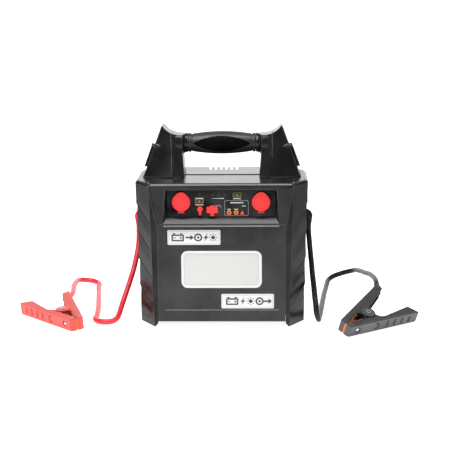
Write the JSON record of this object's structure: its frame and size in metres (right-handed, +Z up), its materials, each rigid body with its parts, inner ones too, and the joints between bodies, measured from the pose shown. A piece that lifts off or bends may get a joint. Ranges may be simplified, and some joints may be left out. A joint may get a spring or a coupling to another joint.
{
  "type": "jump starter pack",
  "caption": "Portable vehicle jump starter: a moulded case with a top handle, control panel with capped outlets, a lamp window and red and black booster cables with spring clamps.",
  "frame": {"origin": "on the floor, under the middle of the case", "axes": "+Z up; the panel faces -Y; +X to the right of someone facing the panel"},
  "size_m": [0.6884, 0.3825, 0.331],
  "materials": {
    "case_black": "moulded black, fine texture",
    "soft_black": "matte",
    "matte_black": "matte",
    "panel_black": "satin printed panel",
    "cap_red": "satin soft rubber",
    "steel": "plated",
    "led_green": "unlit lens",
    "led_orange": "unlit lens",
    "board": "solder resist",
    "lens": "milky diffuser",
    "reflector": "white moulding",
    "sticker": "bare white sticker",
    "battery": "moulded",
    "brass": "tinned",
    "copper": "copper plated",
    "cable_red": "satin insulation",
    "cable_black": "satin insulation",
    "clamp_red": "moulded",
    "clamp_black": "moulded"
  },
  "bodies": {
    "case": {"front_housing": "case_black", "rear_housing": "case_black", "left_side_cover": "case_black", "right_side_cover": "case_black", "rubber_feet": "soft_black", "left_handle_tower": "case_black", "right_handle_tower": "case_black", "handle_grip": "case_black", "grip_inserts": "soft_black", "left_clamp_holder": "matte_black", "right_clamp_holder": "matte_black", "panel_fascia": "panel_black", "left_socket": "matte_black", "right_socket": "matte_black", "socket_nuts": "matte_black", "charge_jack": "matte_black", "usb_port": "steel", "level_leds": "led_green", "jump_leds": "led_orange", "panel_board": "board", "lamp_lens": "lens", "lamp_reflector": "reflector", "lamp_board": "board", "upper_label": "sticker", "lower_label": "sticker", "front_battery": "battery", "rear_battery": "battery", "battery_terminals": "brass", "battery_tray": "matte_black", "battery_bracket": "steel", "series_link": "brass", "main_board": "board", "jump_relay": "matte_black", "positive_lead": "cable_red", "negative_lead": "cable_black", "relay_lead": "cable_red", "case_screws": "steel", "cap_anchors": "matte_black", "red_cable_boot": "cable_red", "red_cable": "cable_red", "red_clamp_cable_arm": "clamp_red", "red_clamp_cable_jaw": "copper", "red_clamp_pin": "steel", "red_clamp_spring": "steel", "black_cable_boot": "cable_black", "black_cable": "cable_black", "black_clamp_cable_arm": "clamp_black", "black_clamp_cable_jaw": "copper", "black_clamp_pin": "steel", "black_clamp_spring": "steel"},
    "red_free_arm": {"red_clamp_free_arm": "clamp_red", "red_clamp_free_jaw": "copper"},
    "black_free_arm": {"black_clamp_free_arm": "clamp_black", "black_clamp_free_jaw": "copper"},
    "left_socket_lid": {"left_socket_cap": "cap_red"},
    "right_socket_lid": {"right_socket_cap": "cap_red"},
    "charge_lid": {"charge_jack_cap": "cap_red"},
    "usb_lid": {"usb_port_cap": "cap_red"},
    "volt_key": {"volt_button": "matte_black"},
    "power_key": {"power_button": "matte_black"}
  },
  "joints": [
    {"name": "red_clamp_hinge", "type": "hinge", "parent": "case", "child": "red_free_arm", "pos_m": [-0.2715, -0.0635, 0.0136], "axis": [0.0756, 0.0774, -0.9941], "range_deg": [0, 28], "stiffness_Nm_per_rad": 2, "springref_deg": -34.38, "deforming": ["red_clamp_spring"]},
    {"name": "black_clamp_hinge", "type": "hinge", "parent": "case", "child": "black_free_arm", "pos_m": [0.241, -0.104, 0.0208], "axis": [0.2408, -0.3415, 0.9085], "range_deg": [0, 28], "stiffness_Nm_per_rad": 2, "springref_deg": -34.38, "deforming": ["black_clamp_spring"]},
    {"name": "left_socket_cap_hinge", "type": "hinge", "parent": "case", "child": "left_socket_lid", "pos_m": [-0.0662, -0.085, 0.1959], "axis": [1, 0, 0], "range_deg": [0, 110]},
    {"name": "right_socket_cap_hinge", "type": "hinge", "parent": "case", "child": "right_socket_lid", "pos_m": [0.0662, -0.085, 0.1959], "axis": [1, 0, 0], "range_deg": [0, 110]},
    {"name": "charge_cap_hinge", "type": "hinge", "parent": "case", "child": "charge_lid", "pos_m": [-0.0351, -0.085, 0.1926], "axis": [1, 0, 0], "range_deg": [0, 110]},
    {"name": "usb_cap_hinge", "type": "hinge", "parent": "case", "child": "usb_lid", "pos_m": [-0.0149, -0.085, 0.1909], "axis": [1, 0, 0], "range_deg": [0, 110]},
    {"name": "volt_button_press", "type": "slide", "parent": "case", "child": "volt_key", "axis": [0, 1, 0], "range_m": [0, 0.0012], "stiffness_N_per_m": 600, "springref_m": -0.0008},
    {"name": "power_button_press", "type": "slide", "parent": "case", "child": "power_key", "axis": [0, 1, 0], "range_m": [0, 0.0012], "stiffness_N_per_m": 600, "springref_m": -0.0008}
  ]
}
